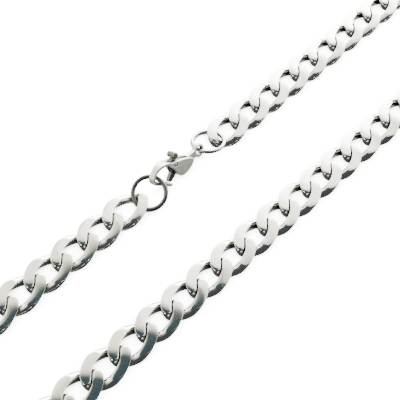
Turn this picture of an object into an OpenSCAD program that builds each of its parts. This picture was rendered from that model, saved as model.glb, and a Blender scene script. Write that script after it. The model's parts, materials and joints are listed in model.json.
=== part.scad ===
// Curb chain necklace lying flat in a long closed loop: flattened twisted links,
// two jump rings and a lobster clasp with a lever on a rivet. Millimetres, +Z up.
// X runs along the two straight stretches, and the links lie on Z = 0.

/* [Chain] */
// Distance from one link to the next
pitch = 6.3; // [6.1:0.05:6.5]
// Width of a link across the chain
link_w = 7; // [6.8:0.05:7.4]
// Length of a link over its two ends
link_l = 10.3; // [10.1:0.05:10.5]
// Diameter of the wire before it is ground flat
wire_d = 1.84; // [1.5:0.02:1.86]
// Thickness over the ground faces
thick = 1.75; // [1.5:0.05:2]
// Twist of a link where its neighbour crosses it, in degrees
twist = 40; // [36:1:44]
// Links from the clasp round the left bend to the middle of the near run
links_left = 41; // [38:1:48]
// Links from there round the right bend back to the clasp
links_right = 43; // [38:1:48]

/* [Loop] */
// Distance between the two runs at the left bend
gap_left = 20.2; // [14:0.1:30]
// Distance between the two runs at the right bend
gap_right = 21.3; // [14:0.1:30]
// Radius of the bends, to the middle of the chain
bend_r = 24; // [21:0.5:28]
// Share of the pitch at which the slack links lie in a bend
bend_pitch = 0.975; // [0.97:0.001:0.985]

/* [Clasp and rings] */
// Distance from the inside of the claw to the eye of the clasp
clasp_l = 12; // [11:0.1:14]
// Place of the clasp along the far run, from the middle of the near run
clasp_x = -8.6; // [-20:0.1:10]
// Outer diameter of a jump ring
ring_d = 7; // [6.8:0.05:7.1]
// Diameter of the wire of a jump ring
ring_wire = 0.76; // [0.7:0.02:0.86]
// Thickness of the clasp
clasp_t = 2.5; // [2.3:0.05:2.8]
// Width of the slot between the cheeks of the clasp
slot_w = 1.1; // [1:0.05:1.2]
// Play of the lever in its slot, on each side
lever_gap = 0.15; // [0.1:0.01:0.2]
// Diameter of the rivet that the lever turns on
rivet_d = 0.8; // [0.6:0.05:0.9]
// Diameter of the hole in the eye of the clasp
eye_hole = 1.8; // [1.6:0.05:1.9]

/* [Hidden] */
$fn = 32;

// Sizes of a link that follow from the ones above
wire_r = wire_d / 2;
half_t = thick / 2;
arm_a = (link_l - wire_d) / 2;
arm_b = (link_w - wire_d) / 2;
// How square the oval of a link is: 1 is an ellipse
end_power = 0.8;
side_power = 0.91;
// How much of its twist a pressed link keeps in its height
press = 0.87;
link_steps = 14;
corner_max = 60;

// Turns of a bend: out away from the other run, then round and back
function flare(gap) = asin((gap / 2 + bend_r) / (2 * bend_r));
function arc_len(deg) = bend_r * deg * PI / 180;
function bend_len(gap) = arc_len(540 - 4 * flare(gap)) / bend_pitch;
function bend_reach(gap) = 2 * bend_r * cos(flare(gap)) + bend_r + link_w / 2;

// Length of chain line that the clasp and both rings take up: a ring laps over the
// link, the claw and the eye that it hangs in
ring_lap = 1.88;
clasp_span = clasp_l + 2 * (ring_d - ring_lap);

// Where the chain ends on the far run, and how far the straight runs go
far_x0 = clasp_x - clasp_span / 2;
far_x1 = clasp_x + clasp_span / 2;
run_left = (links_left * pitch - bend_len(gap_left) - far_x0) / 2;
run_right = (links_right * pitch - bend_len(gap_right) + far_x1) / 2;
shift_x = (run_left + bend_reach(gap_left) - run_right - bend_reach(gap_right)) / 2;

// Half the distance between the runs at a place along them
function half_gap(x) =
    (gap_left + (gap_right - gap_left) * (x + run_left) / (run_left + run_right)) / 2;

// A point of a bend at the right end, s along it from the far run; the bend is
// three arcs that touch, and its slack links lie bend_pitch closer
function bend_point(s, gap) =
    let (f = flare(gap),
         turn = s * bend_pitch / bend_r * 180 / PI,
         reach = 2 * bend_r * cos(f),
         side_y = gap / 2 + bend_r,
         out = 90 - f,
         back = 360 - 2 * f)
    turn < out ? [bend_r * sin(turn), side_y - bend_r * cos(turn)] :
    turn < out + back ?
        let (t = 180 - f - (turn - out)) [reach + bend_r * cos(t), bend_r * sin(t)] :
    let (t = 540 - 4 * f - turn) [bend_r * sin(t), -side_y + bend_r * cos(t)];

// A point of the chain line round the left bend, s from the clasp, and round the
// right bend, s from the clasp
function left_point(s) =
    let (run = far_x0 + run_left, bend = bend_len(gap_left))
    s < run ? [far_x0 - s, half_gap(far_x0 - s)] :
    s < run + bend ?
        let (p = bend_point(s - run, gap_left)) [-run_left - p[0], p[1]] :
    let (x = s - run - bend - run_left) [x, -half_gap(x)];
function right_point(s) =
    let (run = run_right - far_x1, bend = bend_len(gap_right))
    s < run ? [far_x1 + s, half_gap(far_x1 + s)] :
    s < run + bend ?
        let (p = bend_point(s - run, gap_right)) [run_right + p[0], p[1]] :
    let (x = run_right - (s - run - bend)) [x, -half_gap(x)];

// The middle line of a link: an oval twisted along its length and pressed flat
function signed_pow(v, e) = sign(v) * pow(abs(v), e);
function link_mid(t) =
    let (x = arm_a * signed_pow(cos(t), end_power),
         y = arm_b * signed_pow(sin(t), side_power),
         turn = -twist * x / (pitch / 2))
    [x, y * cos(turn), press * y * sin(turn)];
function unit(v) = v / norm(v);
function wire_angle(v) = asin(max(-sin(corner_max), min(sin(corner_max), v)));
// Six corners of the ground wire: two on the top face, two on the bottom face and
// one on each side
function wire_ring(t) =
    let (mid = link_mid(t),
         along = unit(link_mid(t + 0.1) - link_mid(t - 0.1)),
         side = unit(cross([0, 0, 1], along)),
         up = cross(along, side),
         top = wire_angle((half_t - mid[2]) / (wire_r * up[2])),
         low = -wire_angle((half_t + mid[2]) / (wire_r * up[2])))
    [for (c = [[1, low], [1, (top + low) / 2], [1, top],
               [-1, top], [-1, (top + low) / 2], [-1, low]])
        let (p = mid + wire_r * (c[0] * cos(c[1]) * side + sin(c[1]) * up))
        [p[0], p[1], max(-half_t, min(half_t, p[2])) + half_t]];

// Each four corners of the skin are split along their shorter diagonal
module curb_link() {
    n = link_steps;
    rings = [for (i = [0:n - 1]) wire_ring((i + 0.5) * 360 / n)];
    points = [for (r = rings) each r];
    faces = [for (i = [0:n - 1], j = [0:5])
        let (here = i * 6 + j,
             beside = i * 6 + (j + 1) % 6,
             ahead = (i + 1) % n * 6 + j,
             across = (i + 1) % n * 6 + (j + 1) % 6)
        each (norm(points[here] - points[across]) < norm(points[beside] - points[ahead])
              ? [[here, ahead, across], [here, across, beside]]
              : [[here, ahead, beside], [beside, ahead, across]])];
    polyhedron(points, faces, convexity = 6);
}

// A link hangs between two points of the chain line
module link_between(p, q) {
    translate([(p[0] + q[0]) / 2 + shift_x, (p[1] + q[1]) / 2, 0])
        rotate(atan2(q[1] - p[1], q[0] - p[0]))
            curb_link();
}

module chain_left() {
    color("silver")
        for (i = [0:links_left - 1])
            link_between(left_point(i * pitch), left_point((i + 1) * pitch));
}

module chain_right() {
    color("silver")
        for (i = [0:links_right - 1])
            link_between(right_point(i * pitch), right_point((i + 1) * pitch));
}

// Places at the clasp are measured from the middle of its span, at mid thickness
module at_clasp(place, turn) {
    translate([clasp_x + shift_x, half_gap(clasp_x), half_t] + place)
        rotate(turn)
            children();
}

ring_mid_r = (ring_d - ring_wire) / 2;
link_lap = 1.2;
hook_ring_at = [(ring_d - clasp_span) / 2 - link_lap + 0.01, -0.87, 1.16];
end_ring_at = [(clasp_span - ring_d) / 2 + link_lap + 0.02, 0.41, 0.22];
hook_ring_turn = [3.3, 28.7, -147.1];
end_ring_turn = [1.3, 12.6, 71.4];

module jump_ring() {
    rotate_extrude($fn = 64)
        translate([ring_mid_r, 0])
            circle(d = ring_wire);
}

module hook_ring() {
    color("dimgray") at_clasp(hook_ring_at, hook_ring_turn) jump_ring();
}

module end_ring() {
    color("gainsboro") at_clasp(end_ring_at, end_ring_turn) jump_ring();
}

// The clasp is drawn flat with its rivet at the origin, claw to the left, back up
claw_reach = 4.75;
clasp_at = [claw_reach - 0.45 - clasp_l / 2, 0.37, 2.85];
clasp_turn = [66.8, 1.8, 4.8];
// The middle line of the claw: an arc over the back, a bend and a straight arm
claw_w = 0.55;
claw_back_mid = [-3.12, -1.74];
claw_back_r = 3.2;
claw_bend_r = 1;
claw_a0 = 48;
claw_a1 = 138;
claw_a2 = 233;
claw_arm = 3.9;
claw_blend = 10;
claw_bend_mid = claw_back_mid + (claw_back_r - claw_bend_r) * heading(claw_a1);
// The gate of the lever is as long as its rivet lies from the arm of the claw, less a gap
gate_gap = 0.18;
gate_lead = 5;
gate_trail = 10;
// Corners of the gate, as shares of its length and turns from the arm's own direction
gate_front = 0.485;
gate_heel = 0.773;
gate_heel_a = 26.5;
gate_waist = 0.544;
gate_waist_a = 47.4;
gate_r = claw_bend_mid * heading(claw_a2) + claw_bend_r - claw_w / 2 - gate_gap;
// The claw is as thick as the cheeks at its root and thinner from its bend on
claw_t = 1.3;
claw_root_x = -1.4;
claw_thin_x = -4.6;
claw_end_x = claw_back_mid[0] - 2 * claw_back_r;
eye_mid = [clasp_l - claw_reach, -2.08];
eye_wall = 0.45;
eye_t = 0.9;
knob_at = [0.78, 1.42];
knob_r = 0.62;
knob_t = 1.9;
rivet_gap = 0.03;
hub_r = 0.9;

function arc(mid, r, a0, a1, n) =
    [for (i = [0:n]) let (a = a0 + (a1 - a0) * i / n) mid + r * [cos(a), sin(a)]];
function heading(a) = [cos(a), sin(a)];

// One side of the claw, d away from its middle line
function claw_side(d) =
    let (tip = claw_arm * heading(claw_a2 + 90))
    concat(arc(claw_back_mid, claw_back_r + d, claw_a0, claw_a1, 14),
           arc(claw_bend_mid, claw_bend_r + d, claw_a1 + claw_blend, claw_a2, 8),
           [claw_bend_mid + (claw_bend_r + d) * heading(claw_a2) + tip]);
function reverse(list) = [for (i = [len(list) - 1:-1:0]) list[i]];

module claw_outline() {
    polygon(concat(claw_side(claw_w / 2), reverse(claw_side(-claw_w / 2))));
}

module cheek_outline() {
    polygon([[-1.25, 1.05], [0, 0.62], [1, 0.22], [2.4, -0.35], [3.7, -1.05],
             [4.6, -1.8], [4.5, -2.45], [3.5, -3.05], [2.4, -3.35], [1.2, -3.4],
             [0.35, -3], [-0.4, -2], [-0.8, -0.7], [-1.25, 0.2]]);
}

module neck_outline() {
    polygon([[3, -1.1], eye_mid + [-0.95, 0.78], eye_mid + [-0.95, -0.72], [3, -2.7]]);
}

module slot_outline() {
    polygon([[-0.6, 2], [-1, 0.55], [-1.4, 0.1], [-1.4, -4], [2.3, -4], [2.6, -1.7],
             [3.9, -1.7], [4.2, 2]]);
}

module slab(t) {
    translate([0, 0, -t / 2]) linear_extrude(t) children();
}

// The side view that the claw is cut to
module claw_taper() {
    rotate([90, 0, 0])
        slab(4 * claw_back_r)
            polygon([[clasp_t, clasp_t / 2], [claw_root_x, clasp_t / 2],
                     [claw_thin_x, claw_t / 2], [claw_end_x, claw_t / 2],
                     [claw_end_x, -claw_t / 2], [claw_thin_x, -claw_t / 2],
                     [claw_root_x, -clasp_t / 2], [clasp_t, -clasp_t / 2]]);
}

module clasp_body() {
    color("lightgray") at_clasp(clasp_at, clasp_turn) difference() {
        union() {
            intersection() {
                slab(clasp_t) claw_outline();
                claw_taper();
            }
            slab(clasp_t) cheek_outline();
            slab(eye_t) neck_outline();
            translate([eye_mid[0], eye_mid[1], -eye_t / 2])
                cylinder(h = eye_t, r = eye_hole / 2 + eye_wall);
        }
        slab(slot_w) slot_outline();
        translate([eye_mid[0], eye_mid[1], -clasp_t]) cylinder(h = 2 * clasp_t, d = eye_hole);
        translate([0, 0, -clasp_t]) cylinder(h = 2 * clasp_t, d = rivet_d + 2 * rivet_gap);
    }
}

module lever_outline() {
    circle(r = hub_r);
    polygon([[-hub_r, 0], gate_r * gate_front * heading(claw_a2),
             each arc([0, 0], gate_r, claw_a2 - gate_lead, claw_a2 + gate_trail, 4),
             gate_r * gate_heel * heading(claw_a2 + gate_heel_a),
             gate_r * gate_waist * heading(claw_a2 + gate_waist_a), [hub_r, 0]]);
    polygon([[-0.2, 0.5], [0.3, knob_at[1]], [1.2, knob_at[1]], [0.85, 0.2]]);
}

module clasp_lever() {
    color("darkgray") at_clasp(clasp_at, clasp_turn) difference() {
        union() {
            slab(slot_w - 2 * lever_gap) lever_outline();
            translate([knob_at[0], knob_at[1], -knob_t / 2]) cylinder(h = knob_t, r = knob_r);
        }
        translate([0, 0, -clasp_t]) cylinder(h = 2 * clasp_t, d = rivet_d + 4 * rivet_gap);
    }
}

module lever_rivet() {
    color("silver") at_clasp(clasp_at, clasp_turn)
        translate([0, 0, -clasp_t / 2]) cylinder(h = clasp_t, d = rivet_d);
}

chain_left();
chain_right();
hook_ring();
end_ring();
clasp_body();
clasp_lever();
lever_rivet();
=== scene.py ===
"""Looks of the curb chain necklace: polished links, two jump rings and a lobster clasp.
Everything is in metres, in the frame of the CAD model."""

import json
import math

import bmesh
import bpy
import numpy as np
from mathutils import Matrix, Vector


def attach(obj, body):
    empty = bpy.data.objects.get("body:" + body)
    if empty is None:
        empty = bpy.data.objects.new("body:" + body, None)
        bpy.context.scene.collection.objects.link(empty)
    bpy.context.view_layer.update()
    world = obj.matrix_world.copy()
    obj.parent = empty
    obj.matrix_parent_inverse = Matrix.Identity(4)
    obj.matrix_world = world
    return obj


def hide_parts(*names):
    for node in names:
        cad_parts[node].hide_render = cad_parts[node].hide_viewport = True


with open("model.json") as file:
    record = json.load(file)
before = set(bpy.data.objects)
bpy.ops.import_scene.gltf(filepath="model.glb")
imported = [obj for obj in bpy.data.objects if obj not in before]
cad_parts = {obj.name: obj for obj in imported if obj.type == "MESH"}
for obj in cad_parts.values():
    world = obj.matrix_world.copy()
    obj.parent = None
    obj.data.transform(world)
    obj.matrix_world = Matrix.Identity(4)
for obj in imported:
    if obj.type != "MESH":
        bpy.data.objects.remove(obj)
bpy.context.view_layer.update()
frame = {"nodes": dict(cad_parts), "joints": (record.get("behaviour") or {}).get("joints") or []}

MM = 0.001

# The link, as the CAD model has it
PITCH = 6.3 * MM
LINK_W = 7 * MM
LINK_L = 10.3 * MM
WIRE_R = 0.92 * MM
HALF_T = 0.875 * MM
TWIST = math.radians(40)
PRESS = 0.87
END_POWER = 0.8
SIDE_POWER = 0.91
# A ground face falls gently along the wire on both sides of its crest, at this slope. It is
# domed across the wire, rounds over softly at its edge, and its edge lies at most 60 degrees
# up or down the wire.
FACE_SLOPE = 0.066
FACE_CREST = 0.8 * MM
CREST_SOFT = 0.7 * MM
FACE_DOME = 14 * MM
FACE_SOFT = 0.08 * MM
STEEPEST_EDGE = math.sin(math.radians(60))
# How finely its wire is traced, and how finely the link is cut: along the wire, and across
# a ground face and a side of it
TRACE_POINTS = 4001
LINK_STATIONS = 80
FACE_CUTS = (0, 0.05, 0.14, 0.32, 0.5, 0.68, 0.86, 0.95)
WALL_CUTS = (0, 0.08, 0.28, 0.5, 0.72, 0.92)
# Each link is a shade lighter or darker than the next
TONE_SPREAD = 0.5
TONE_SHARE = 0.03
SEED = 7

# Jump rings
RING_WIRE = 0.76 * MM
HOOK_RING_WIRE = 0.88 * MM
RING_STATIONS = 144
RING_SIDES = 28
# The pressed joint of a ring is a fine groove, at an angle round the ring, and the ring
# is cut more finely there, at these shares of the groove's width
HOOK_RING_JOINT = 2.2
END_RING_JOINT = 3.4
GROOVE_WIDTH = 0.07 * MM
GROOVE_DEPTH = 0.06 * MM
GROOVE_CUTS = np.array([-1.5, -0.7, -0.3, 0, 0.3, 0.7, 1.5])

# Clasp castings
CAST_VOXEL = 0.06 * MM
LEVER_VOXEL = 0.05 * MM
TUMBLE_FACTOR = 0.5
TUMBLE_ROUNDS = 3

# The rivet, and the dome of its ends: share of the radius, and depth below the dome's top
RIVET_R = 0.4 * MM
RIVET_SIDES = 32
RIVET_DOME = ((0.3, 0.01 * MM), (0.6, 0.03 * MM), (0.85, 0.06 * MM), (0.97, 0.1 * MM), (1, 0.16 * MM))

# What handling leaves on steel: how much rougher it gets, and how far it is stained
SCRATCH_ROUGH = 0.05
SMEAR_ROUGH = 0.03
STAIN_SCALE = 180.0
STAIN_DARKEST = 0.96
GRAIN_DARKEST = 0.86
BUMP_HEIGHT = 0.004 * MM
# Directions of the scratches, as turns in radians, and how long each is drawn out
SCRATCH_LAYERS = ((0.5, 22), (1.7, 30), (2.6, 17))
# Painted shade: the steel's colour is darkened in its hollows and between parts, by ambient occlusion
PAINTED_SHADE_REACH = 1 * MM
PAINTED_SHADE_DARKEST = 0.25
PAINTED_SHADE_SAMPLES = 8

# The floor shines as a light table does, with painted contact shadow that dims its glow close to the
# necklace
FLOOR_HALF = 0.8
FLOOR_GLOW = 14
SHADE_GLOW = 0.1
SHADE_REACH = 2.5 * MM
SHADE_SAMPLES = 16

# Round patches of the studio sky: degrees round and up, radius and soft edge in
# degrees, colour. Each is laid over the ones before it.
SKY_BASE = (2.6, 2.56, 2.1)
SKY = ((-12, 7, 37.5, 10, (16, 15.7, 14.5)),
       (0, -90, 86, 8, (0.36, 0.37, 0.36)),
       (180, -85, 42, 18, (0.045, 0.047, 0.047)),
       (130, 88, 29.5, 5.5, (0.06, 0.1, 0.112)),
       (-80, 60, 13, 4, (0.06, 0.095, 0.105)),
       (-165, -5, 73, 9, (0.07, 0.077, 0.08)))
# Lamps that shine straight down: name, size, watts, place, and whether steel mirrors them.
# The window hangs over the links at the far right.
LAMP_COLOUR = (1, 0.98, 0.88)
LAMPS = (("overhead", (0.35, 0.35), 4, (-0.02, 0.02, 0.3), False),
         ("window", (0.075, 0.12), 0.035, (0.052, 0.018, 0.1), True))

# Camera
IMAGE_PX = 400
FOCAL_PX = 983.8
SENSOR_MM = 36
CAMERA_AT = Vector((-95.916, -63.236, 151.369)) * MM
CAMERA_AIM = Vector((-9.518, 2.697, 0)) * MM
CAMERA_ROLL = math.radians(7.29)


# Meshes and pieces

def new_piece(name, verts, faces, smooth=True):
    """A new object in the scene from corners and faces, with its faces pointing outwards."""
    mesh = bpy.data.meshes.new(name)
    mesh.from_pydata([tuple(v) for v in verts], [], [tuple(f) for f in faces])
    shape = bmesh.new()
    shape.from_mesh(mesh)
    bmesh.ops.recalc_face_normals(shape, faces=shape.faces)
    shape.to_mesh(mesh)
    shape.free()
    mesh.polygons.foreach_set("use_smooth", [smooth] * len(mesh.polygons))
    piece = bpy.data.objects.new(name, mesh)
    bpy.context.scene.collection.objects.link(piece)
    return piece


def hand_over(piece, body, material, node):
    """Puts a finished piece's material in its one slot, hangs it on its body, and hides the CAD node it
    stands for.
    """
    piece.data.materials.clear()
    piece.data.materials.append(material)
    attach(piece, body)
    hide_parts(node)


def apply_modifiers(piece):
    """Works a piece's modifiers into a plain mesh."""
    seen = piece.evaluated_get(bpy.context.evaluated_depsgraph_get())
    mesh = bpy.data.meshes.new_from_object(seen)
    mesh.name = piece.name
    piece.modifiers.clear()
    piece.data = mesh


def mesh_points(mesh):
    """The corners of a mesh as rows of an array."""
    co = np.empty(len(mesh.vertices) * 3)
    mesh.vertices.foreach_get("co", co)
    return co.reshape(-1, 3)


def islands(mesh):
    """The points of each loose part of a mesh, after joining the corners that coincide
    to a thousandth of a millimetre."""
    points = mesh_points(mesh)
    _, first, same = np.unique(np.round(points / (0.001 * MM)), axis=0, return_index=True,
                               return_inverse=True)
    same = same.reshape(-1)
    parent = list(range(len(first)))

    def root(i):
        while parent[i] != i:
            parent[i] = parent[parent[i]]
            i = parent[i]
        return i

    for edge in mesh.edges:
        a, b = root(same[edge.vertices[0]]), root(same[edge.vertices[1]])
        parent[a] = b
    groups = {}
    for i, f in enumerate(first):
        groups.setdefault(root(i), []).append(points[f])
    return [np.array(g) for g in groups.values()]


def tube(name, sections):
    """A closed tube through its sections, which all have as many points."""
    n, k = len(sections), len(sections[0])
    verts = [p for section in sections for p in section]
    faces = [(i * k + j, (i + 1) % n * k + j, (i + 1) % n * k + (j + 1) % k, i * k + (j + 1) % k)
             for i in range(n) for j in range(k)]
    return new_piece(name, verts, faces)


# Nodes

class Graph:
    """Short ways to add and wire nodes."""

    def __init__(self, tree):
        self.tree = tree

    def add(self, kind, inputs=None, **settings):
        """A new node with its settings, and its inputs filled."""
        node = self.tree.nodes.new(kind)
        for key, value in settings.items():
            setattr(node, key, value)
        return self.fill(node, inputs or {})

    def fill(self, node, inputs):
        """Sets each input of a node to a value, or links it where the value is a socket."""
        for key, value in inputs.items():
            if isinstance(value, bpy.types.NodeSocket):
                self.tree.links.new(value, node.inputs[key])
            else:
                node.inputs[key].default_value = value
        return node

    def maths(self, operation, a, b=0.0):
        return self.add("ShaderNodeMath", {0: a, 1: b}, operation=operation).outputs[0]

    def spread(self, value, low, high, to_low, to_high):
        """Maps the range from low to high onto another one."""
        return self.add("ShaderNodeMapRange", {"Value": value, "From Min": low, "From Max": high,
                                               "To Min": to_low, "To Max": to_high}).outputs[0]

    def group(self, tree, inputs):
        """A shader group placed in this tree."""
        return self.fill(self.add("ShaderNodeGroup", node_tree=tree), inputs)


def node_group(name, kind, inputs, outputs):
    """A new node group: its tree, the sockets that bring its inputs in, and those that take
    its outputs out. An input is a label, a type and a default value, an output a label and a type."""
    tree = bpy.data.node_groups.new(name, kind)
    for label, socket_type, value in inputs:
        socket = tree.interface.new_socket(label, in_out="INPUT", socket_type=socket_type)
        if value is not None:
            socket.default_value = value
    for label, socket_type in outputs:
        tree.interface.new_socket(label, in_out="OUTPUT", socket_type=socket_type)
    return tree, tree.nodes.new("NodeGroupInput").outputs, tree.nodes.new("NodeGroupOutput").inputs


# Steel

def handling_marks():
    """Fine scratches in all directions and soft smears, as handling leaves on polished steel."""
    tree, given, result = node_group(
        "Handling marks", "ShaderNodeTree",
        [("Place", "NodeSocketVector", None), ("Scratch scale", "NodeSocketFloat", 900.0),
         ("Smear scale", "NodeSocketFloat", 260.0)],
        [("Scratches", "NodeSocketFloat"), ("Smears", "NodeSocketFloat")])
    g = Graph(tree)
    lines = []
    for k, (turn, stretch) in enumerate(SCRATCH_LAYERS):
        lay = g.add("ShaderNodeMapping", {"Vector": given["Place"], "Rotation": (0.1 * k, 0.2 * k, turn),
                                          "Scale": (1, stretch, stretch)})
        noise = g.add("ShaderNodeTexNoise", {"Vector": lay.outputs[0], "Scale": given["Scratch scale"],
                                             "Detail": 3.0, "Roughness": 0.6})
        lines.append(g.spread(noise.outputs[0], 0.6, 0.72, 0, 1))
    total = g.maths("ADD", g.maths("ADD", lines[0], lines[1]), lines[2])
    tree.links.new(g.maths("MINIMUM", total, 1.0), result["Scratches"])
    smear = g.add("ShaderNodeTexNoise", {"Vector": given["Place"], "Scale": given["Smear scale"],
                                         "Detail": 4.0, "Roughness": 0.55, "Distortion": 0.6})
    tree.links.new(g.spread(smear.outputs[0], 0.35, 0.7, 0, 1), result["Smears"])
    return tree


def brushed_grain():
    """Hair lines of a brushed face, drawn out along the axis whose stretch is smallest."""
    tree, given, result = node_group(
        "Brushed grain", "ShaderNodeTree",
        [("Place", "NodeSocketVector", None), ("Stretch", "NodeSocketVector", (1, 1, 0.04)),
         ("Grain scale", "NodeSocketFloat", 9000.0)],
        [("Grain", "NodeSocketFloat")])
    g = Graph(tree)
    lay = g.add("ShaderNodeVectorMath", {0: given["Place"], 1: given["Stretch"]}, operation="MULTIPLY")
    noise = g.add("ShaderNodeTexNoise", {"Vector": lay.outputs[0], "Scale": given["Grain scale"],
                                         "Detail": 4.0, "Roughness": 0.65})
    tree.links.new(noise.outputs[0], result["Grain"])
    return tree


# The two groups are built once, and every steel below has its own node of them
MARKS = handling_marks()
GRAIN = brushed_grain()


def steel(name, colour, rough, bump, toned=False, brushed=False):
    """Polished steel: marks lift its roughness, its colour gets painted shade in hollows, and the bump is
    very low.
    A toned steel varies from link to link, and a brushed one has upright hair lines."""
    material = bpy.data.materials.new(name)
    material.use_nodes = True
    g = Graph(material.node_tree)
    place = g.add("ShaderNodeTexCoord").outputs["Object"]
    wear = g.group(MARKS, {"Place": place})
    relief = wear.outputs["Scratches"]
    shine = g.maths("ADD", g.maths("MULTIPLY", wear.outputs["Scratches"], SCRATCH_ROUGH),
                    g.maths("MULTIPLY", wear.outputs["Smears"], SMEAR_ROUGH))
    stain = g.add("ShaderNodeTexNoise", {"Vector": place, "Scale": STAIN_SCALE, "Detail": 2.0}).outputs[0]
    light = g.spread(stain, 0.3, 0.7, STAIN_DARKEST, 1.0)
    if toned:
        tone = g.add("ShaderNodeAttribute", attribute_name="tone").outputs["Fac"]
        light = g.maths("ADD", light, g.maths("MULTIPLY", tone, TONE_SHARE))
    if brushed:
        relief = g.group(GRAIN, {"Place": place}).outputs["Grain"]
        light = g.maths("MULTIPLY", light, g.spread(relief, 0.35, 0.65, GRAIN_DARKEST, 1))
    # Painted shade: ambient occlusion darkens the colour in hollows and between parts
    painted_hollow_shade = g.add("ShaderNodeAmbientOcclusion", {"Distance": PAINTED_SHADE_REACH}, samples=PAINTED_SHADE_SAMPLES)
    light = g.maths("MULTIPLY", light, g.spread(painted_hollow_shade.outputs["AO"], 0.3, 0.85, PAINTED_SHADE_DARKEST, 1))
    grey = g.add("ShaderNodeCombineColor", {"Red": light, "Green": light, "Blue": light}).outputs[0]
    shade = g.add("ShaderNodeMix", {0: 1.0, 6: (*colour, 1), 7: grey}, data_type="RGBA",
                  blend_type="MULTIPLY").outputs[2]
    low = g.add("ShaderNodeBump", {"Height": relief, "Strength": bump, "Distance": BUMP_HEIGHT})
    g.fill(material.node_tree.nodes["Principled BSDF"],
           {"Base Color": shade, "Metallic": 1, "Roughness": g.maths("ADD", shine, rough),
            "Normal": low.outputs[0]})
    return material


CHAIN_STEEL = steel("chain_polish", (0.9, 0.895, 0.87), 0.07, 0.02, toned=True)
RING_STEEL = steel("ring_polish", (0.6, 0.61, 0.6), 0.13, 0.1)
# The hook ring is the same steel painted dark: painted shade for the dark reflections round its wire
PAINTED_SHADE_RING_STEEL = steel("ring_dull", (0.17, 0.185, 0.18), 0.3, 0.1)
CLASP_STEEL = steel("clasp_cast", (0.86, 0.86, 0.845), 0.39, 0.35, brushed=True)
# The lever is the same steel as the clasp, painted dark: painted shade for its shadowed faces
PAINTED_SHADE_LEVER_STEEL = steel("lever_cast", (0.18, 0.18, 0.175), 0.22, 0.3)


# The chain

def signed_pow(v, power):
    """A power that keeps the sign, which squares off the ends of an oval."""
    return np.sign(v) * np.abs(v) ** power


def link_line():
    """Points evenly spaced along the middle of the wire: an oval, twisted and pressed flat."""
    t = np.linspace(0, 2 * math.pi, TRACE_POINTS)
    x = (LINK_L / 2 - WIRE_R) * signed_pow(np.cos(t), END_POWER)
    y = (LINK_W / 2 - WIRE_R) * signed_pow(np.sin(t), SIDE_POWER)
    turn = -TWIST * x / (PITCH / 2)
    line = np.stack([x, y * np.cos(turn), PRESS * y * np.sin(turn)], axis=1)
    run = np.concatenate([[0], np.cumsum(np.linalg.norm(np.diff(line, axis=0), axis=1))])
    at = (np.arange(LINK_STATIONS) + 0.5) / LINK_STATIONS * run[-1]
    return np.stack([np.interp(at, run, line[:, k]) for k in range(3)], axis=1)


def face_heights(line):
    """Height of the upper ground face at every station of the wire, and depth of the lower one."""
    count = len(line)
    step = np.linalg.norm(line[1] - line[0])
    past = round(FACE_CREST / step)
    reach = np.abs(line[:, 0])
    heights = []
    for rise in (line[:, 2], -line[:, 2]):
        crests = []
        for side in (line[:, 1] > 0, line[:, 1] < 0):
            crest = int(np.argmax(np.where(side, rise, -1)))
            outwards = 1 if reach[(crest + 1) % count] > reach[crest] else -1
            crests.append((crest + past * outwards) % count)
        away = [min(min((i - c) % count, (c - i) % count) for c in crests) for i in range(count)]
        away = np.array(away) * step
        heights.append(HALF_T - FACE_SLOPE * (np.sqrt(away ** 2 + CREST_SOFT ** 2) - CREST_SOFT))
    return np.array(heights).T


def ground(height, across, face):
    """Height of wire points after grinding: they level off softly under a face domed across."""
    knee = face - across ** 2 / (2 * FACE_DOME) - FACE_SOFT
    over = np.maximum(height - knee, 0)
    return np.minimum(height, knee) + FACE_SOFT * (1 - np.exp(-over / FACE_SOFT))


def wire_section(mid, along, upper, lower):
    """Round section of the wire, ground off above and below, with more points near the edges.
    The link lies on the floor, so its middle is lifted by half its thickness."""
    side = np.cross([0, 0, 1], along)
    side /= np.linalg.norm(side)
    up = np.cross(along, side)
    reach = WIRE_R * up[2]
    top = math.asin(max(-STEEPEST_EDGE, min(STEEPEST_EDGE, (upper - mid[2]) / reach)))
    low = -math.asin(max(-STEEPEST_EDGE, min(STEEPEST_EDGE, (lower + mid[2]) / reach)))
    spans = ((low, top, WALL_CUTS), (top, math.pi - top, FACE_CUTS),
             (math.pi - top, math.pi - low, WALL_CUTS), (math.pi - low, 2 * math.pi + low, FACE_CUTS))
    angles = np.array([a + (b - a) * cut for a, b, cuts in spans for cut in cuts])
    ring = mid + WIRE_R * (np.outer(np.cos(angles), side) + np.outer(np.sin(angles), up))
    across = (ring - mid) @ side
    ring[:, 2] = ground(ring[:, 2], across, upper)
    ring[:, 2] = HALF_T - ground(-ring[:, 2], across, lower)
    return ring


def one_link():
    """One finished link at the origin."""
    line = link_line()
    along = np.roll(line, -1, axis=0) - np.roll(line, 1, axis=0)
    along /= np.linalg.norm(along, axis=1)[:, None]
    heights = face_heights(line)
    return tube("one_link", [wire_section(m, a, *h) for m, a, h in zip(line, along, heights)])


def link_places(node):
    """Middle and direction in the plane of every link of a CAD chain node."""
    places = []
    for points in islands(frame["nodes"][node].data):
        middle = points[:, :2].mean(axis=0)
        _, _, axes = np.linalg.svd(points[:, :2] - middle, full_matrices=False)
        places.append((*middle, points[:, 2].min(), math.atan2(axes[0][1], axes[0][0])))
    return places


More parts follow.
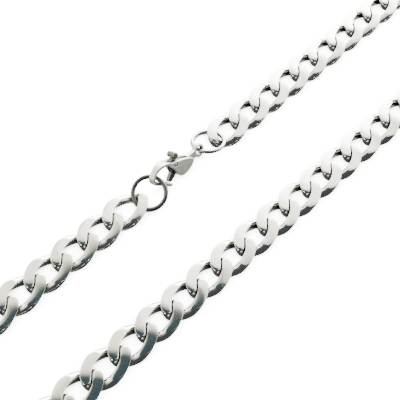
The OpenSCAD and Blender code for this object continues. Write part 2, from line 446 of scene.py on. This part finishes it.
def link_layer():
    """Geometry nodes that lay the link on every point, each turned by its own angle."""
    tree, given, result = node_group(
        "Lay links", "GeometryNodeTree",
        [("Places", "NodeSocketGeometry", None), ("Link", "NodeSocketObject", None),
         ("Tone spread", "NodeSocketFloat", None), ("Seed", "NodeSocketInt", None),
         ("Steel", "NodeSocketMaterial", None)],
        [("Chain", "NodeSocketGeometry")])
    g = Graph(tree)
    link = g.add("GeometryNodeObjectInfo", {"Object": given["Link"]})
    angle = g.add("GeometryNodeInputNamedAttribute", {"Name": "turn"}, data_type="FLOAT")
    spin = g.add("ShaderNodeCombineXYZ", {"Z": angle.outputs["Attribute"]})
    darkest = g.maths("MULTIPLY", given["Tone spread"], -1)
    tone = g.add("FunctionNodeRandomValue", {2: darkest, 3: given["Tone spread"], "Seed": given["Seed"]},
                 data_type="FLOAT")
    keep = g.add("GeometryNodeStoreNamedAttribute",
                 {"Geometry": given["Places"], "Name": "tone", "Value": tone.outputs[1]},
                 data_type="FLOAT", domain="POINT")
    laid = g.add("GeometryNodeInstanceOnPoints",
                 {"Points": keep.outputs["Geometry"], "Instance": link.outputs["Geometry"],
                  "Rotation": spin.outputs["Vector"]})
    real = g.add("GeometryNodeRealizeInstances", {"Geometry": laid.outputs["Instances"]})
    polished = g.add("GeometryNodeSetMaterial",
                     {"Geometry": real.outputs["Geometry"], "Material": given["Steel"]})
    tree.links.new(polished.outputs["Geometry"], result["Chain"])
    return tree


def lay_chain(name, node, tree, link, seed):
    """One half of the chain: a link laid on the place of every link of the CAD node."""
    places = link_places(node)
    piece = new_piece(name, [p[:3] for p in places], [])
    turn = piece.data.attributes.new("turn", "FLOAT", "POINT")
    turn.data.foreach_set("value", [p[3] for p in places])
    modifier = piece.modifiers.new("Lay links", "NODES")
    modifier.node_group = tree
    named = {s.name: s.identifier for s in tree.interface.items_tree if s.in_out == "INPUT"}
    modifier[named["Link"]] = link
    modifier[named["Tone spread"]] = TONE_SPREAD
    modifier[named["Seed"]] = seed
    modifier[named["Steel"]] = CHAIN_STEEL
    apply_modifiers(piece)
    hand_over(piece, "necklace", CHAIN_STEEL, node)


def make_chain():
    link = one_link()
    tree = link_layer()
    lay_chain("links_left", "chain_left", tree, link, SEED)
    lay_chain("links_right", "chain_right", tree, link, SEED + 1)
    bpy.data.objects.remove(link)


# The clasp and its rings

def ring_frame(node):
    """Centre, two directions in its plane, normal and middle radius of a CAD ring."""
    points = mesh_points(frame["nodes"][node].data)
    points = np.unique(np.round(points, 8), axis=0)
    middle = points.mean(axis=0)
    _, _, axes = np.linalg.svd(points - middle, full_matrices=False)
    normal = axes[2] * np.sign(axes[2][2])
    first = axes[0] - normal * (axes[0] @ normal)
    first /= np.linalg.norm(first)
    second = np.cross(normal, first)
    out = (points - middle) @ first
    across = (points - middle) @ second
    middle = middle + first * (out.max() + out.min()) / 2 + second * (across.max() + across.min()) / 2
    return middle, first, second, normal, (out.max() - out.min()) / 2 - RING_WIRE / 2


def jump_ring(name, node, joint, thick, material):
    """A ring of round wire in the place of a CAD ring, with a groove at its pressed joint."""
    middle, first, second, normal, radius = ring_frame(node)
    turns = np.linspace(0, 2 * math.pi, RING_STATIONS, endpoint=False)
    near = GROOVE_CUTS * GROOVE_WIDTH / radius + joint
    turns = np.sort(np.concatenate([turns, near % (2 * math.pi)]))
    around = np.linspace(0, 2 * math.pi, RING_SIDES, endpoint=False)
    sections = []
    for turn in turns:
        out = math.cos(turn) * first + math.sin(turn) * second
        away = abs((turn - joint + math.pi) % (2 * math.pi) - math.pi) * radius
        wire = thick / 2 - GROOVE_DEPTH * math.exp(-(away / (GROOVE_WIDTH / 2)) ** 2)
        sections.append(middle + radius * out + wire * (np.outer(np.cos(around), out)
                                                        + np.outer(np.sin(around), normal)))
    piece = tube(name, sections)
    hand_over(piece, "necklace", material, node)


def casting(name, node, body, material, voxel):
    """A cast piece: the CAD shape with its edges tumbled soft."""
    mesh = frame["nodes"][node].data.copy()
    mesh.materials.clear()
    piece = bpy.data.objects.new(name, mesh)
    bpy.context.scene.collection.objects.link(piece)
    remesh = piece.modifiers.new("Cast", "REMESH")
    remesh.mode = "VOXEL"
    remesh.voxel_size = voxel
    remesh.use_smooth_shade = True
    smooth = piece.modifiers.new("Tumble", "SMOOTH")
    smooth.factor = TUMBLE_FACTOR
    smooth.iterations = TUMBLE_ROUNDS
    apply_modifiers(piece)
    piece.data.polygons.foreach_set("use_smooth", [True] * len(piece.data.polygons))
    hand_over(piece, body, material, node)


def rivet():
    """The rivet's shank with its two ends upset to low domes."""
    joint = frame["joints"][0]
    axis = Vector(joint["axis"]).normalized()
    middle = Vector(joint["pos_m"])
    turn = axis.to_track_quat("Z", "Y").to_matrix()
    points = mesh_points(frame["nodes"]["lever_rivet"].data)
    half = np.ptp(points @ np.array(axis)) / 2
    rings = [(share, half - depth) for share, depth in RIVET_DOME]
    rings += [(share, -height) for share, height in reversed(rings)]
    verts = [middle + turn @ Vector((0, 0, half))]
    for share, height in rings:
        for k in range(RIVET_SIDES):
            a = 2 * math.pi * k / RIVET_SIDES
            out = RIVET_R * share
            verts.append(middle + turn @ Vector((out * math.cos(a), out * math.sin(a), height)))
    verts.append(middle + turn @ Vector((0, 0, -half)))
    faces = [(0, 1 + k, 1 + (k + 1) % RIVET_SIDES) for k in range(RIVET_SIDES)]
    for r in range(len(rings) - 1):
        a, b = 1 + r * RIVET_SIDES, 1 + (r + 1) * RIVET_SIDES
        faces += [(a + k, b + k, b + (k + 1) % RIVET_SIDES, a + (k + 1) % RIVET_SIDES)
                  for k in range(RIVET_SIDES)]
    last = 1 + (len(rings) - 1) * RIVET_SIDES
    faces += [(last + k, len(verts) - 1, last + (k + 1) % RIVET_SIDES) for k in range(RIVET_SIDES)]
    piece = new_piece("rivet", verts, faces)
    hand_over(piece, "necklace", RING_STEEL, "lever_rivet")


def make_clasp():
    jump_ring("ring_at_hook", "hook_ring", HOOK_RING_JOINT, HOOK_RING_WIRE, PAINTED_SHADE_RING_STEEL)
    jump_ring("ring_at_end", "end_ring", END_RING_JOINT, RING_WIRE, RING_STEEL)
    casting("clasp", "clasp_body", "necklace", CLASP_STEEL, CAST_VOXEL)
    casting("lever", "clasp_lever", "lever", PAINTED_SHADE_LEVER_STEEL, LEVER_VOXEL)
    rivet()


# Floor, light and camera

def make_floor():
    """White paper that glows, with painted shadow where anything lies close above it."""
    half = FLOOR_HALF
    floor = new_piece("floor", [(-half, -half, 0), (half, -half, 0), (half, half, 0), (-half, half, 0)],
                      [(0, 1, 2, 3)], smooth=False)
    material = bpy.data.materials.new("floor_paper")
    material.use_nodes = True
    g = Graph(material.node_tree)
    # Painted contact shadow: ambient occlusion dims the floor's glow
    open_sky = g.add("ShaderNodeAmbientOcclusion", {"Distance": SHADE_REACH}, samples=SHADE_SAMPLES)
    glow = g.spread(open_sky.outputs["AO"], 0.15, 0.9, SHADE_GLOW, FLOOR_GLOW)
    g.fill(material.node_tree.nodes["Principled BSDF"],
           {"Base Color": (0.8, 0.8, 0.8, 1), "Roughness": 0.9, "Specular IOR Level": 0,
            "Emission Color": (1, 1, 1, 1), "Emission Strength": glow})
    floor.data.materials.append(material)
    floor.visible_glossy = False


def sky_patch():
    """How far a direction lies inside a round patch of the sky, from 0 to 1."""
    tree, given, result = node_group(
        "Sky patch", "ShaderNodeTree",
        [("Direction", "NodeSocketVector", None), ("Middle", "NodeSocketVector", None),
         ("Radius", "NodeSocketFloat", 0.5), ("Soft edge", "NodeSocketFloat", 0.1)],
        [("Inside", "NodeSocketFloat")])
    g = Graph(tree)
    facing = g.add("ShaderNodeVectorMath", {0: given["Direction"], 1: given["Middle"]},
                   operation="DOT_PRODUCT").outputs["Value"]
    angle = g.maths("ARCCOSINE", facing)
    near = g.maths("SUBTRACT", given["Radius"], given["Soft edge"])
    far = g.maths("ADD", given["Radius"], given["Soft edge"])
    inside = g.add("ShaderNodeMapRange", {"Value": angle, "From Min": near, "From Max": far,
                                          "To Min": 1.0, "To Max": 0.0}, interpolation_type="SMOOTHSTEP")
    tree.links.new(inside.outputs[0], result["Inside"])
    return tree


def sky_direction(azimuth, height):
    """A direction from degrees round from the way the camera looks, and degrees up."""
    ahead = CAMERA_AIM - CAMERA_AT
    turn = math.atan2(ahead.y, ahead.x) + math.radians(azimuth)
    up = math.radians(height)
    return (math.cos(up) * math.cos(turn), math.cos(up) * math.sin(turn), math.sin(up))


def make_sky():
    """The world: an even sky with the soft patches laid over it."""
    world = bpy.data.worlds.new("studio")
    bpy.context.scene.world = world
    world.use_nodes = True
    g = Graph(world.node_tree)
    patch = sky_patch()
    towards = g.add("ShaderNodeTexCoord").outputs["Generated"]
    colour = g.add("ShaderNodeRGB").outputs[0]
    colour.default_value = (*SKY_BASE, 1)
    for azimuth, height, radius, edge, light in SKY:
        inside = g.group(patch, {"Direction": towards, "Middle": sky_direction(azimuth, height),
                                 "Radius": math.radians(radius), "Soft edge": math.radians(edge)})
        mix = g.add("ShaderNodeMix", {0: inside.outputs[0], 6: colour, 7: (*light, 1)}, data_type="RGBA")
        colour = mix.outputs[2]
    world.node_tree.links.new(colour, world.node_tree.nodes["Background"].inputs["Color"])


def make_lamp(name, size, watts, place, mirrored):
    """A flat lamp that shines straight down and is mirrored in the steel or not."""
    light = bpy.data.lights.new(name, "AREA")
    light.shape = "RECTANGLE"
    light.size, light.size_y = size
    light.energy = watts
    light.color = LAMP_COLOUR
    holder = bpy.data.objects.new(name, light)
    holder.location = place
    holder.visible_glossy = mirrored
    holder.visible_camera = False
    bpy.context.scene.collection.objects.link(holder)


def make_camera():
    """The camera at the photograph's angle: it looks at the aim and is rolled a little."""
    camera = bpy.data.cameras.new("camera")
    camera.sensor_width = SENSOR_MM
    camera.lens = FOCAL_PX / IMAGE_PX * camera.sensor_width
    camera.clip_start = 0.01
    camera.clip_end = 10
    holder = bpy.data.objects.new("camera", camera)
    bpy.context.scene.collection.objects.link(holder)
    ahead = (CAMERA_AIM - CAMERA_AT).normalized()
    level = ahead.cross(Vector((0, 0, 1))).normalized()
    upright = level.cross(ahead)
    right = math.cos(CAMERA_ROLL) * level + math.sin(CAMERA_ROLL) * upright
    up = right.cross(ahead)
    turn = Matrix((right, up, -ahead)).transposed().to_4x4()
    holder.matrix_world = Matrix.Translation(CAMERA_AT) @ turn
    bpy.context.scene.camera = holder


# Build

make_camera()
make_chain()
make_clasp()
make_floor()
make_sky()
for lamp in LAMPS:
    make_lamp(*lamp)
